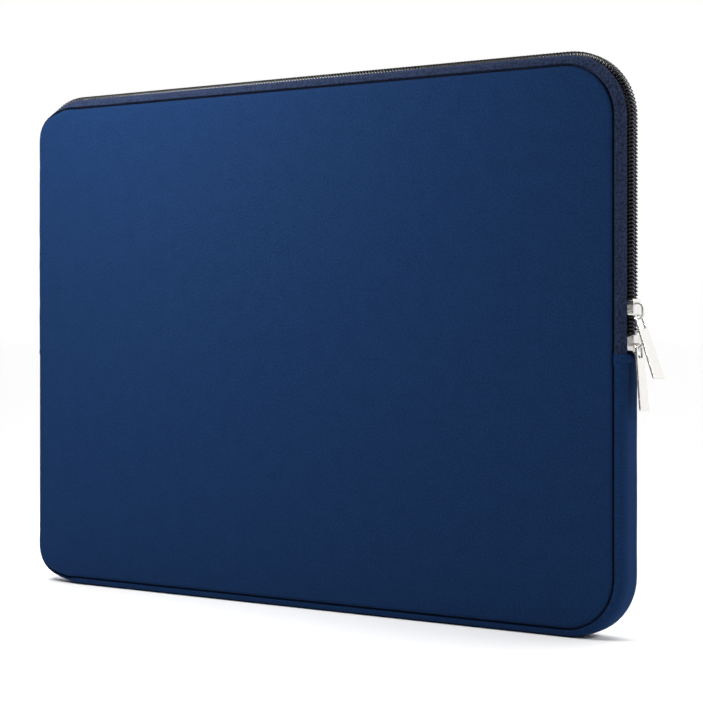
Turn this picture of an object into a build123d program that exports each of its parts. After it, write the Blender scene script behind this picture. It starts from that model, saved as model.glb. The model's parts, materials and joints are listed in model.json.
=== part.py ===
# Padded laptop sleeve: two soft rectangular panels joined by a gusset, closed by a coil zip on
# three sides with two sliders. It stands on its long bottom edge.
# Frame, in millimetres: +X to the right along the long side, +Y from the front panel to the back
# panel, +Z up. The origin is on the floor, under the middle of the sleeve.
# Around the rim a place is given by n, the distance outwards from the panels' seam line, and y.
import os

from build123d import *

# ---- driving dimensions -------------------------------------------------------------------------
SEAM_WIDTH = 336.0       # panel outline, seam to seam, along X
SEAM_HEIGHT = 250.0      # panel outline, seam to seam, along Z
SEAM_RADIUS = 24.0       # corner radius of the panel outline
RIM_DEPTH = 5.5          # how far the gusset stands out past the seam line
FLOOR_DEPTH = 3.8        # the same under the bottom edge, where the sleeve's weight flattens it
THICKNESS = 20.0         # over both panels, along Y
RIM_FLAT = 11.0          # width of the flat part of the gusset, along Y
SEAM_STEP = 0.2          # how far the gusset's edge lies below the panel's face

FACE = 0.6               # knitted face fabric
FOAM = 2.4               # foam between face and lining
LINING = 0.6             # fleece lining
FOAM_AT_FLOOR = 1.0      # what is left of the foam where the bottom edge is flattened

BAND = 1.6               # folded fabric band beside the zip
BAND_HEM = 5.2           # half width of the gap between the two bands
TAPE = 0.6               # woven zip tape
TAPE_GAP = 0.55          # half the gap between the two tapes
TAPE_LOW = 2.0           # how far down the rim the tape reaches, as n
COIL_INNER = 0.45        # nearest and furthest side of each coil from the middle of the zip
COIL_OUTER = 3.3
COIL_HEIGHT = 2.5

BINDING_WIDTH = 2.4      # bound seam allowance inside, along n
BINDING_DEEP = 2.2       # and along Y
BINDING_CLEAR = 0.2

# Heights along the short sides are measured from the middle of the panel outline.
ZIP_END = -4.5           # where the zip run stops on both short sides
COIL_END = -2.3
FOLD = 27.5              # fold line of the front flap
FOLD_GAP = 0.4
TAB_LOW = -7.8           # folded fabric tab over each end of the zip
TAB_HIGH = -2.5
TAB_PROUD = 1.0
TAB_EDGE = 0.15          # the tab stops this far below the panel's face
STITCH_LENGTH = 2.0
STITCH_PITCH = 3.0
STITCH_WIDTH = 0.5
STITCH_UP = 0.9          # height of the stitch row above the tab's lower edge
STITCHES = 5

SLIDER_LENGTH = 7.6
SLIDER_HALF_HEAD = 4.6   # half width at the open mouth
SLIDER_HALF_TAIL = 4.3
SLIDER_FLANGE = 0.85
TOP_PLATE = (1.2, 2.2)   # inner and outer face, measured out from the gusset's flat
BOTTOM_PLATE = (-4.0, -2.7)
FLANGE_FOOT = -1.2
DIVIDER = 0.3            # half thickness of the web that joins the plates
DIVIDER_SPAN = (-3.4, 0.8)
LOWER_SLIDER = 1.65      # height of each slider's middle
UPPER_SLIDER = 17.4

CROWN_HALF_LENGTH = 3.85  # arched bar that holds the pull tab
CROWN_SHIFT = 1.65       # its middle is this far from the slider's middle, towards the mouth
CROWN_TOP = 5.2
CROWN_BAR = 0.85
CROWN_HALF_WIDTH = 0.8
CROWN_CORNER = 2.6
TONGUE_HALF_WIDTH = 1.3  # part of the top plate that carries the crown past the mouth

PULL_THICK = 0.9
PULL_BAR = 0.9           # the bar above the window, which turns inside the crown
PULL_REACH = 29.4        # from the swing axis to the free end
PULL_OUT = 3.25          # swing axis, out from the gusset's flat
PULL_DOWN = 1.8          # swing axis, below the crown's middle
PULL_ASIDE = 1.0         # the tab hangs this far off the crown's middle, towards the front
PULL_HALF_TOP = 3.7
PULL_HALF_END = 4.7
PULL_SHOULDER = 2.6
WINDOW_HALF = 2.2
WINDOW_REACH = 6.2       # from the swing axis to the far side of the window
LOWER_LEAN = 5.0         # degrees that each tab hangs out from plumb
UPPER_LEAN = 20.0
UPPER_TWIST = 6.0        # degrees that the upper tab is turned about plumb, towards the front

# ---- values that follow -------------------------------------------------------------------------
HALF_WIDTH = SEAM_WIDTH / 2
HALF_HEIGHT = SEAM_HEIGHT / 2
MIDDLE_Z = FLOOR_DEPTH + HALF_HEIGHT
CORNER_X = HALF_WIDTH - SEAM_RADIUS
CORNER_HIGH_Z = MIDDLE_Z + HALF_HEIGHT - SEAM_RADIUS
CORNER_LOW_Z = MIDDLE_Z - HALF_HEIGHT + SEAM_RADIUS
PANEL_FACE = THICKNESS / 2
RIM_HALF = PANEL_FACE - SEAM_STEP
HALF_FLAT = RIM_FLAT / 2
RIM_X = HALF_WIDTH + RIM_DEPTH
WALL = FACE + FOAM + LINING
ZIP_END_Z = MIDDLE_Z + ZIP_END
COIL_END_Z = MIDDLE_Z + COIL_END
FOLD_Z = MIDDLE_Z + FOLD
TAB_LOW_Z = MIDDLE_Z + TAB_LOW
TAB_HIGH_Z = MIDDLE_Z + TAB_HIGH
LOWER_SLIDER_Z = MIDDLE_Z + LOWER_SLIDER
UPPER_SLIDER_Z = MIDDLE_Z + UPPER_SLIDER
TALL = 2 * (SEAM_HEIGHT + SEAM_WIDTH)  # longer than anything, for cutting


# ---- shared shapes ------------------------------------------------------------------------------
def rim_curve(depth):
    """The area under the rim's outer curve, seen along the rim, with n as X, taken in by depth."""
    side = RIM_HALF - HALF_FLAT - depth
    top = RIM_DEPTH - depth
    corners = Pos(0, HALF_FLAT) * Ellipse(top, side) + Pos(0, -HALF_FLAT) * Ellipse(top, side)
    flat = Pos(top / 2, 0) * Rectangle(top, 2 * HALF_FLAT)
    right_half = Pos(TALL / 2, 0) * Rectangle(TALL, TALL)
    return (corners + flat) & right_half


def rim_layer(outer, inner):
    """The section of one layer of the rim, between two depths below the outer curve."""
    return rim_curve(outer) - rim_curve(inner)


def keep(section, y_low, y_high, n_low=0.0):
    """The part of a rim section between two values of y, and above a value of n."""
    window = Pos(n_low + TALL / 2, (y_low + y_high) / 2) * Rectangle(TALL, y_high - y_low)
    return (section & window).faces()[0]


def straight(section, x, z, length, turn):
    """A rim section, extruded. turn 0 is the right side going up, 90 the top going left, and so on."""
    bar = extrude(section, amount=length, dir=(0, 0, 1))
    return Pos(x, 0, z) * Rot(0, -turn, 0) * bar


def corner(section, x, z, turn):
    """A quarter turn of a rim section round a corner of the panel outline, centred on x, z."""
    placed = Pos(SEAM_RADIUS, 0, 0) * section
    quarter = revolve(placed, Axis((0, 0, 0), (0, -1, 0)), 90)
    return Pos(x, 0, z) * Rot(0, -turn, 0) * quarter


def upper_run(section, from_z):
    """A rim section from from_z on the right side, over the top, down to from_z on the left."""
    rise = CORNER_HIGH_Z - from_z
    top_z = MIDDLE_Z + HALF_HEIGHT
    run = straight(section, HALF_WIDTH, from_z, rise, 0)
    run += corner(section, CORNER_X, CORNER_HIGH_Z, 0)
    run += straight(section, CORNER_X, top_z, 2 * CORNER_X, 90)
    run += corner(section, -CORNER_X, CORNER_HIGH_Z, 90)
    run += straight(section, -HALF_WIDTH, CORNER_HIGH_Z, rise, 180)
    return run


def lower_run(section, to_z):
    """A rim section from to_z on the left side, under the bottom, up to to_z on the right."""
    drop = to_z - CORNER_LOW_Z
    bottom_z = MIDDLE_Z - HALF_HEIGHT
    run = straight(section, -HALF_WIDTH, to_z, drop, 180)
    run += corner(section, -CORNER_X, CORNER_LOW_Z, 180)
    run += straight(section, -CORNER_X, bottom_z, 2 * CORNER_X, 270)
    run += corner(section, CORNER_X, CORNER_LOW_Z, 270)
    run += straight(section, HALF_WIDTH, CORNER_LOW_Z, drop, 0)
    return run


def short_run(section, from_z, to_z, side):
    """A short straight length of a rim section. side is 1 on the right and -1 on the left."""
    if side > 0:
        return straight(section, HALF_WIDTH, from_z, to_z - from_z, 0)
    return straight(section, -HALF_WIDTH, to_z, to_z - from_z, 180)


def panel(y_low, y_high, inset=0.0):
    """A flat slab with the panel's outline, taken in by inset, between two values of y."""
    outline = RectangleRounded(SEAM_WIDTH - 2 * inset, SEAM_HEIGHT - 2 * inset, SEAM_RADIUS - inset)
    slab = extrude(Plane.XZ * outline, amount=y_high - y_low, dir=(0, 1, 0))
    return Pos(0, y_low, MIDDLE_Z) * slab


def binding(y_low, y_high):
    """The bound seam allowance, a frame just inside the panel outline."""
    frame = panel(y_low, y_high, BINDING_CLEAR)
    return frame - panel(y_low - 1, y_high + 1, BINDING_CLEAR + BINDING_WIDTH)


def above(shape, z):
    return shape & (Pos(0, 0, z + TALL / 2) * Box(TALL, TALL, TALL))


def above_fold(shape):
    return above(shape, FOLD_Z + FOLD_GAP / 2)


def below_fold(shape):
    high = FOLD_Z - FOLD_GAP / 2
    return shape & (Pos(0, 0, high - TALL / 2) * Box(TALL, TALL, TALL))


# ---- panels -------------------------------------------------------------------------------------
def panel_layers(side):
    """Face fabric, foam and lining of one panel. side is -1 for the front and 1 for the back."""
    depths = {"face": (0, FACE), "foam": (FACE, FACE + FOAM), "lining": (FACE + FOAM, WALL)}
    layers = {}
    for name, (outer, inner) in depths.items():
        ends = sorted((side * (PANEL_FACE - outer), side * (PANEL_FACE - inner)))
        layers[name] = panel(*ends)
    return layers


def seam_binding(side):
    ends = sorted((side * (RIM_HALF - WALL), side * (RIM_HALF - WALL - BINDING_DEEP)))
    return binding(*ends)


# ---- rim ----------------------------------------------------------------------------------------
def gusset_layers():
    """Face fabric, foam and lining of the gusset under the zip's ends, flattened where it stands."""
    depths = (0, FACE, FACE + FOAM, WALL)
    floors = (0, FACE, FACE + FOAM_AT_FLOOR, FACE + FOAM_AT_FLOOR + LINING)
    filled = [above(lower_run(rim_curve(depth), ZIP_END_Z), floor) for depth, floor in zip(depths, floors)]
    return [outer - inner for outer, inner in zip(filled, filled[1:])]


def side_limits(side, inner, outer):
    """Lowest and highest y of a strip on one side of the zip."""
    return sorted((side * inner, side * outer))


def band_section(side):
    return keep(rim_layer(0, BAND), *side_limits(side, BAND_HEM, PANEL_FACE))


def tape_section(side):
    whole = rim_layer(BAND, BAND + TAPE)
    return keep(whole, *side_limits(side, TAPE_GAP, PANEL_FACE), n_low=TAPE_LOW)


def coil_section(side):
    middle = side * (COIL_INNER + COIL_OUTER) / 2
    foot = RIM_DEPTH - BAND
    bar = RectangleRounded(COIL_HEIGHT, COIL_OUTER - COIL_INNER, COIL_HEIGHT / 3)
    return Pos(foot + COIL_HEIGHT / 2, middle) * bar


def end_tab(side):
    """Folded fabric over one end of the zip. side is 1 on the right and -1 on the left."""
    limit = PANEL_FACE - TAB_EDGE
    section = keep(rim_layer(-TAB_PROUD, 0), -limit, limit)
    return short_run(section, TAB_LOW_Z, TAB_HIGH_Z, side)


def end_tab_stitches():
    """One short row of stitches near the lower edge of each end tab."""
    z = TAB_LOW_Z + STITCH_UP
    out = RIM_X + TAB_PROUD + STITCH_WIDTH / 2
    row = []
    for side in (-1, 1):
        for place in range(STITCHES):
            y = (place - (STITCHES - 1) / 2) * STITCH_PITCH * (HALF_FLAT / RIM_HALF)
            stitch = Box(STITCH_WIDTH, STITCH_LENGTH * HALF_FLAT / RIM_HALF, STITCH_WIDTH)
            row.append(Pos(side * out, y, z) * fillet(stitch.edges().filter_by(Axis.Y), STITCH_WIDTH / 3))
    return Compound(row)


# ---- sliders ------------------------------------------------------------------------------------
# A slider is drawn in its own frame: X out from the gusset's flat, Y across the zip, and Z along
# it, with the open mouth at -Z.
def slider_outline():
    """The slider's outline across Y and Z, a shield that is widest at the mouth."""
    half = SLIDER_LENGTH / 2
    head = SLIDER_HALF_HEAD
    tail = SLIDER_HALF_TAIL
    right = [(head, -half), (head, half * 0.3), (tail, half)]
    left = [(-tail, half), (-head, half * 0.3), (-head, -half)]
    return make_face(Polyline(right + left, close=True))


def plate(faces, outline):
    return Pos(faces[0], 0, 0) * extrude(Plane.YZ * outline, amount=faces[1] - faces[0], dir=(1, 0, 0))


def slider_body():
    """Top and bottom plates, a flange down each side and the web that holds the plates together."""
    rounded = slider_outline()
    rounded = fillet(rounded.vertices(), 1.1)
    tongue_end = CROWN_SHIFT + CROWN_HALF_LENGTH + 0.2
    tongue = Pos(0, -tongue_end / 2) * Rectangle(2 * TONGUE_HALF_WIDTH, tongue_end)
    top = plate(TOP_PLATE, rounded + tongue)
    bottom = plate(BOTTOM_PLATE, rounded)
    ring = plate((FLANGE_FOOT, TOP_PLATE[0]), rounded)
    channel = Box(TALL, 2 * (SLIDER_HALF_TAIL - SLIDER_FLANGE + 0.2), TALL)
    flanges = ring - channel
    height = TOP_PLATE[0] - BOTTOM_PLATE[1]
    length = DIVIDER_SPAN[1] - DIVIDER_SPAN[0]
    web = Pos(BOTTOM_PLATE[1] + height / 2, 0, sum(DIVIDER_SPAN) / 2) * Box(height, 2 * DIVIDER, length)
    body = top + flanges + web + bottom
    outer = body.faces().sort_by(Axis.X)[-1]
    return fillet(outer.edges(), 0.4)


def crown():
    """The bail: a flat bar bent into an arch along the slider, standing on its top plate."""
    height = CROWN_TOP - TOP_PLATE[1]
    outer = Rectangle(height, 2 * CROWN_HALF_LENGTH)
    outer = fillet(outer.vertices().group_by(Axis.X)[-1], CROWN_CORNER)
    inner = Pos(-CROWN_BAR / 2, 0) * Rectangle(height - CROWN_BAR, 2 * (CROWN_HALF_LENGTH - CROWN_BAR))
    inner = fillet(inner.vertices().group_by(Axis.X)[-1], CROWN_CORNER - CROWN_BAR)
    arch = outer - inner
    # the sketch's X is out from the plate and its Y becomes Z
    solid = extrude(Rot(90, 0, 0) * arch, amount=CROWN_HALF_WIDTH, dir=(0, 1, 0), both=True)
    solid = Pos(TOP_PLATE[1] + height / 2, 0, -CROWN_SHIFT) * solid
    rim = solid.edges().filter_by(lambda edge: edge.center().X > TOP_PLATE[1] + 0.3)
    rim = rim.filter_by(lambda edge: abs(abs(edge.center().Y) - CROWN_HALF_WIDTH) < 0.01)
    return fillet(rim, 0.3)


def pull_tab():
    """The pull, hanging down -Z from its swing axis, which is the Y axis. Its flat faces look along X."""
    top = PULL_BAR / 2
    right = [(PULL_HALF_TOP, top), (PULL_HALF_END, -PULL_REACH)]
    left = [(-PULL_HALF_END, -PULL_REACH), (-PULL_HALF_TOP, top)]
    outline = make_face(Polyline(right + left, close=True))
    outline = fillet(outline.vertices().group_by(Axis.Y)[-1], PULL_SHOULDER)
    outline = fillet(outline.vertices().group_by(Axis.Y)[0], 0.8)
    height = WINDOW_REACH - top
    window = Pos(0, -top - height / 2) * RectangleRounded(2 * WINDOW_HALF, height, 0.7)
    blank = extrude(Plane.YZ * (outline - window), amount=PULL_THICK / 2, dir=(1, 0, 0), both=True)
    flat_faces = blank.faces().filter_by(Axis.X)
    return fillet(flat_faces.edges(), 0.2)


def place_slider(shape, z, mouth_up):
    """A slider piece on the right side of the sleeve, with its middle at z."""
    turn = 180 if mouth_up else 0
    return Pos(RIM_X, 0, z) * Rot(turn, 0, 0) * shape


def pull_axis_z(slider_z, mouth_up):
    """Height of a pull's swing axis, at the low end of its slider's crown."""
    return slider_z + (CROWN_SHIFT if mouth_up else -CROWN_SHIFT) - PULL_DOWN


def place_pull(z, lean, twist=0.0):
    """The pull whose swing axis is at z. It hangs out from plumb by lean, turned by twist."""
    hung = Rot(0, 0, -twist) * Rot(0, -lean, 0) * Pos(0, -PULL_ASIDE, 0) * pull_tab()
    return Pos(RIM_X + PULL_OUT, 0, z) * hung


# ---- nodes --------------------------------------------------------------------------------------
def build():
    nodes = {}
    back = panel_layers(1)
    nodes["back_face_fabric"] = back["face"]
    nodes["back_foam_pad"] = back["foam"]
    nodes["back_lining"] = back["lining"]
    nodes["back_seam_binding"] = seam_binding(1)

    front = panel_layers(-1)
    front["seam_binding"] = seam_binding(-1)
    names = {"face": "front_face_fabric", "foam": "front_foam_pad", "lining": "front_lining",
             "seam_binding": "front_seam_binding"}
    for key, name in names.items():
        nodes[name + "_lower"] = below_fold(front[key])
        nodes[name + "_flap"] = above_fold(front[key])

    for name, layer in zip(("face_fabric", "foam", "lining"), gusset_layers()):
        nodes["gusset_" + name] = layer

    strips = {"zip_band": (band_section, ZIP_END_Z), "zip_tape": (tape_section, ZIP_END_Z),
              "zip_coil": (coil_section, COIL_END_Z)}
    for name, (section, start_z) in strips.items():
        nodes["back_" + name] = upper_run(section(1), start_z)
        for side, word in ((1, "right"), (-1, "left")):
            low = short_run(section(-1), start_z, FOLD_Z - FOLD_GAP / 2, side)
            nodes[f"front_{name}_lower_{word}"] = low
        nodes[f"front_{name}_flap"] = upper_run(section(-1), FOLD_Z + FOLD_GAP / 2)

    nodes["right_end_tab"] = end_tab(1)
    nodes["left_end_tab"] = end_tab(-1)
    nodes["end_tab_stitches"] = end_tab_stitches()

    nodes["lower_slider_body"] = place_slider(slider_body(), LOWER_SLIDER_Z, mouth_up=True)
    nodes["lower_slider_crown"] = place_slider(crown(), LOWER_SLIDER_Z, mouth_up=True)
    nodes["lower_pull_tab"] = place_pull(pull_axis_z(LOWER_SLIDER_Z, True), LOWER_LEAN)
    nodes["upper_slider_body"] = place_slider(slider_body(), UPPER_SLIDER_Z, mouth_up=False)
    nodes["upper_slider_crown"] = place_slider(crown(), UPPER_SLIDER_Z, mouth_up=False)
    nodes["upper_pull_tab"] = place_pull(pull_axis_z(UPPER_SLIDER_Z, False), UPPER_LEAN, UPPER_TWIST)
    return nodes


os.makedirs("parts", exist_ok=True)
for node, shape in build().items():
    export_step(shape, f"parts/{node}.step")
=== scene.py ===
import json
from math import atan2, cos, exp, hypot, pi, radians, sin, sqrt

import bmesh
import bpy
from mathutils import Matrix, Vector, noise


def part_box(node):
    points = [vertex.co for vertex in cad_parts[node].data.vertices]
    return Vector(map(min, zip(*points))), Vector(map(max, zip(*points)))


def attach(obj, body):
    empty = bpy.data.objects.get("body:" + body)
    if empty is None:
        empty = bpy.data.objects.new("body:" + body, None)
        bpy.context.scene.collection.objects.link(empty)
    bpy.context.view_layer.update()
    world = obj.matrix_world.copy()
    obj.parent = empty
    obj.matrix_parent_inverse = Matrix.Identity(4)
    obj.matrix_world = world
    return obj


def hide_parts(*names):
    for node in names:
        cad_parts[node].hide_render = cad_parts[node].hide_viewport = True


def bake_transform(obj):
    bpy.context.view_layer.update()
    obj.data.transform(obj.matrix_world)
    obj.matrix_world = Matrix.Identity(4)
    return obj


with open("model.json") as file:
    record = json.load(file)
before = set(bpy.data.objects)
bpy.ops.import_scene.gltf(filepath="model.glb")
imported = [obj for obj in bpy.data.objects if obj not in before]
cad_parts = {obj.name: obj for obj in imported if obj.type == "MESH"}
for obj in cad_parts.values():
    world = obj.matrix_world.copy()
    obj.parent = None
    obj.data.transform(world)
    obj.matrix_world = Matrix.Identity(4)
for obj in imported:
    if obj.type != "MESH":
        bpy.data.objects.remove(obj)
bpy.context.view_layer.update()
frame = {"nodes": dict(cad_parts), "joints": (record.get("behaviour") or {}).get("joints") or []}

bl_info = {
    "name": "Laptop Sleeve",
    "version": (1, 0, 0),
    "blender": (4, 5, 0),
    "location": "View3D > Sidebar > Sleeve",
    "description": "Makes a padded laptop sleeve with a coil zip, its finishes and a small studio",
    "category": "Object",
}

# ---- places taken from the frame, in metres ------------------------------------------------------
MM = 0.001
_panel_low, _panel_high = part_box("back_face_fabric")
_coil_low, _coil_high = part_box("back_zip_coil")
_tab_low, _tab_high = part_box("right_end_tab")
_binding_low, _binding_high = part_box("back_seam_binding")
_band_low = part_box("back_zip_band")[0]
_lining_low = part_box("back_lining")[0]
_rim_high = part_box("gusset_face_fabric")[1]
_tape_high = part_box("back_zip_tape")[1]

SEAM_HALF_WIDTH = _panel_high[0]
SEAM_LOW = _panel_low[2]
SEAM_HIGH = _panel_high[2]
SEAM_HALF_HEIGHT = (SEAM_HIGH - SEAM_LOW) / 2
MIDDLE_Z = (SEAM_HIGH + SEAM_LOW) / 2
SEAM_RADIUS = 24 * MM
FACE_Y = _panel_high[1]
RIM_DEPTH = _rim_high[0] - SEAM_HALF_WIDTH
ZIP_END = _band_low[2]
HEM_Y = _band_low[1]
LINING_Y = _lining_low[1]
TAPE_OUT = _tape_high[0] - SEAM_HALF_WIDTH
COIL_OUT = _coil_high[0] - SEAM_HALF_WIDTH
COIL_SIDE = _coil_high[1]
COIL_END = _coil_low[2]
FOLD = next(j for j in frame["joints"] if j["name"] == "front_flap_fold")
_, FOLD_Y, FOLD_Z = FOLD["pos_m"]
BEND_BELOW = 6 * MM
BEND_ABOVE = 14 * MM
BEND_START = (0, FOLD_Y, FOLD_Z - BEND_BELOW)
BEND_END = (0, FOLD_Y, FOLD_Z + BEND_ABOVE)


# ---- sizes and colours that a user would change --------------------------------------------------
def length(name, description, value):
    return bpy.props.FloatProperty(
        name=name, description=description, default=value, unit="LENGTH")


class SleeveSizes(bpy.types.PropertyGroup):
    crown: length("Panel crown", "How far the middle of a panel stands out past its edge", 0.5 * MM)
    edge_roll: length("Edge roll", "Radius of the roll along a panel's edge, above its seam", 1.9 * MM)
    groove: length("Seam groove", "Width of the groove between a panel's edge and the rim", 1.1 * MM)
    edge_fall: length("Edge fall", "How far a panel's face falls away towards its edge", 0.9 * MM)
    ripple: length("Ripple", "Height of the soft unevenness in the cloth", 0.12 * MM)
    coil_pitch: length("Coil pitch", "Distance from one turn of the zip's coil to the next", 1.68 * MM)
    filament: length("Filament", "Thickness of the nylon that the coil is wound from", 0.62 * MM)
    mesh_step: length("Mesh step", "Largest distance between rows of the soft pieces' meshes", 3.0 * MM)


def colour(name, description, value):
    return bpy.props.FloatVectorProperty(
        name=name, description=description, default=value, size=3, subtype="COLOR", min=0, max=1)


class SleeveColours(bpy.types.PropertyGroup):
    knit: colour("Knit", "Face cloth of the panels and the gusset", (0.0066, 0.0222, 0.0690))
    band: colour("Zip band", "Cloth bands beside the zip", (0.0155, 0.0232, 0.0500))
    lining: colour("Lining", "Brushed lining", (0.010, 0.011, 0.015))
    tape: colour("Zip tape", "Woven tape, bindings and their thread", (0.006, 0.006, 0.010))
    coil: colour("Coil", "Nylon coil of the zip", (0.0035, 0.0033, 0.0060))
    nickel: colour("Nickel", "Plated sliders and pulls", (0.70, 0.685, 0.66))
    thread: colour("Thread", "Sewing thread on the face cloth", (0.003, 0.006, 0.018))
    floor: colour("Floor", "Floor and backdrop", (0.97, 0.97, 0.97))


def sizes():
    return bpy.context.scene.sleeve_sizes


def colours():
    return bpy.context.scene.sleeve_colours


# ---- shader maths --------------------------------------------------------------------------------
class Value:
    """A number or colour socket in a material. Maths on it adds nodes."""

    def __init__(self, finish, socket):
        self.finish = finish
        self.socket = socket

    def _math(self, operation, a, b):
        return self.finish.node("ShaderNodeMath", {"operation": operation}, {0: a, 1: b})["Value"]

    def __add__(self, other):
        return self._math("ADD", self, other)

    def __sub__(self, other):
        return self._math("SUBTRACT", self, other)

    def __mul__(self, other):
        return self._math("MULTIPLY", self, other)

    __radd__ = __add__
    __rmul__ = __mul__

    def sine(self):
        return self._math("SINE", self, 0.0)

    def least(self, other):
        return self._math("MINIMUM", self, other)

    def most(self, other):
        return self._math("MAXIMUM", self, other)

    def clamp(self):
        return self.least(1.0).most(0.0)


class Outputs:
    """The output sockets of one node, by name or number."""

    def __init__(self, finish, node):
        self.finish = finish
        self.made = node

    def __getitem__(self, name):
        return Value(self.finish, self.made.outputs[name])


class Finish:
    """One material under construction."""

    def __init__(self, name):
        self.material = bpy.data.materials.new(name)
        self.material.use_nodes = True
        self.tree = self.material.node_tree
        self.shader = self.tree.nodes["Principled BSDF"]

    def node(self, kind, settings=None, inputs=None):
        """Adds a node, makes its settings first, then fills its sockets with values or links."""
        made = self.tree.nodes.new(kind)
        for key, value in (settings or {}).items():
            setattr(made, key, value)
        for key, value in (inputs or {}).items():
            if isinstance(value, Value):
                self.tree.links.new(value.socket, made.inputs[key])
            else:
                made.inputs[key].default_value = value
        return Outputs(self, made)

    def place(self, source="Object"):
        return self.node("ShaderNodeTexCoord")[source]

    def axes(self, vector):
        parts = self.node("ShaderNodeSeparateXYZ", inputs={0: vector})
        return parts["X"], parts["Y"], parts["Z"]

    def cloud(self, vector, size, detail=3.0, roughness=0.55):
        """Soft noise from 0 to 1, with spots about as large as size in metres."""
        inputs = {"Vector": vector, "Scale": 1 / size, "Detail": detail, "Roughness": roughness}
        return self.node("ShaderNodeTexNoise", {"noise_dimensions": "3D"}, inputs)["Fac"]

    def blend(self, factor, first, second):
        """From the first colour to the second as factor goes from 0 to 1."""
        settings = {"data_type": "RGBA", "clamp_factor": True}
        # the colour sockets of a mix node can only be reached by number
        return self.node("ShaderNodeMix", settings, {0: factor, 6: (*first, 1.0), 7: (*second, 1.0)})[2]

    def bump(self, height, distance, strength=1.0, under=None):
        inputs = {"Height": height, "Distance": distance, "Strength": strength}
        if under is not None:
            inputs["Normal"] = under
        return self.node("ShaderNodeBump", None, inputs)["Normal"]

    def set(self, **values):
        """Fills the shader's sockets. A name's underscores stand for spaces."""
        for key, value in values.items():
            socket = self.shader.inputs[key.replace("_", " ")]
            if isinstance(value, Value):
                self.tree.links.new(value.socket, socket)
            elif isinstance(value, tuple) and len(value) == 3 and socket.type == "RGBA":
                socket.default_value = (*value, 1.0)
            else:
                socket.default_value = value
        return self.material


def times(rgb, factor):
    return tuple(min(1.0, c * factor) for c in rgb)


_finishes = {}


def finish_of(make):
    """The finish that make gives, made once and then shared."""
    if make not in _finishes:
        _finishes[make] = make(make.__name__)
    return _finishes[make]


def knit(name, base, contrast=1.0, streak=0.9 * MM):
    """Fine jersey over foam: columns of small loops, flecked by longer soft streaks."""
    f = Finish(name)
    uv = f.place("UV")
    across, along, _ = f.axes(uv)
    wale = 0.62 * MM
    course = 0.46 * MM
    sway = f.cloud(uv, 4 * MM, 1.0) * 1.2
    loops = (across * (2 * pi / wale) + sway).sine()
    rows = (along * (2 * pi / course) + loops * 0.9).sine()
    fleck = f.cloud(uv, streak, 4.0, 0.7)
    patch = f.cloud(uv, 9 * MM, 3.0)
    # the rows add a little painted shade: the colour is darker between the rows of loops, where the
    # bump sinks, and lighter on them; the flecks and patches are tone that varies at random
    shade = (fleck - 0.5) * (1.7 * contrast) + (patch - 0.5) * (0.25 * contrast) + rows * 0.06 + 0.5
    cloth = f.blend(shade.clamp(), times(base, 0.55), times(base, 1.5))
    height = loops * 0.35 + rows * 0.45 + fleck * 1.1
    weave = f.bump(height, 0.07 * MM, 0.55)
    rough = 0.86 + (fleck - 0.5) * 0.2
    return f.set(Base_Color=cloth, Roughness=rough, Normal=weave, Specular_IOR_Level=0.03,
                 Sheen_Weight=0.10, Sheen_Roughness=0.45, Sheen_Tint=times(base, 9.0))


def navy_knit(name):
    return knit(name, tuple(colours().knit))


def band_knit(name):
    return knit(name, tuple(colours().band), 3.0, 1.3 * MM)


def fleece(name):
    """Brushed lining with a short uneven pile."""
    f = Finish(name)
    spot = f.place()
    pile = f.cloud(spot, 0.7 * MM, 5.0, 0.75)
    nap = f.cloud(spot, 14 * MM, 2.0)
    base = tuple(colours().lining)
    shade = (pile - 0.5) * 1.8 + (nap - 0.5) * 0.8 + 0.5
    cloth = f.blend(shade.clamp(), times(base, 0.5), times(base, 2.1))
    return f.set(Base_Color=cloth, Roughness=0.95, Normal=f.bump(pile, 0.25 * MM, 0.7),
                 Sheen_Weight=0.12, Sheen_Roughness=0.5, Specular_IOR_Level=0.15)


def tape_weave(name):
    """Narrow twill tape."""
    f = Finish(name)
    uv = f.place("UV")
    across, along, _ = f.axes(uv)
    twill = ((across + along) * (2 * pi / (0.55 * MM))).sine()
    ends = (across * (2 * pi / (0.4 * MM))).sine()
    dust = f.cloud(uv, 3 * MM)
    base = tuple(colours().tape)
    # partly painted shade: the twill's sine darkens the colour in the weave's hollows and lightens it
    # on its ridges, where the bump rises; the dust cloud is tone that varies at random
    cloth = f.blend((twill * 0.3 + dust).clamp(), times(base, 0.6), times(base, 2.2))
    weave = f.bump(twill + ends * 0.5, 0.05 * MM, 0.6)
    return f.set(Base_Color=cloth, Roughness=0.6 + dust * 0.15, Normal=weave, Specular_IOR_Level=0.3)


def nylon(name):
    """Satin filament: faint draw lines and a little waviness in the shine."""
    f = Finish(name)
    spot = f.place()
    draw = f.cloud(spot, 0.5 * MM, 3.0)
    wave = f.cloud(spot, 6 * MM, 2.0)
    base = tuple(colours().coil)
    tone = f.blend(wave, times(base, 0.7), times(base, 1.6))
    shine = f.bump(draw, 0.03 * MM, 0.4)
    return f.set(Base_Color=tone, Roughness=0.17 + draw * 0.12, Normal=shine, Specular_IOR_Level=0.5)


def sewing_thread(name):
    """Two-ply thread with its twist."""
    f = Finish(name)
    x, y, z = f.axes(f.place())
    twist = ((x + y * 1.6 + z * 1.3) * (2 * pi / (0.32 * MM))).sine()
    base = tuple(colours().thread)
    # painted shade: the twist's sine darkens the thread's colour in the hollows between its plies and
    # lightens it on their tops, where the bump rises
    tone = f.blend(twist * 0.5 + 0.5, times(base, 0.6), times(base, 1.8))
    plies = f.bump(twist, 0.04 * MM, 0.6)
    return f.set(Base_Color=tone, Roughness=0.55, Normal=plies, Specular_IOR_Level=0.2)


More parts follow.
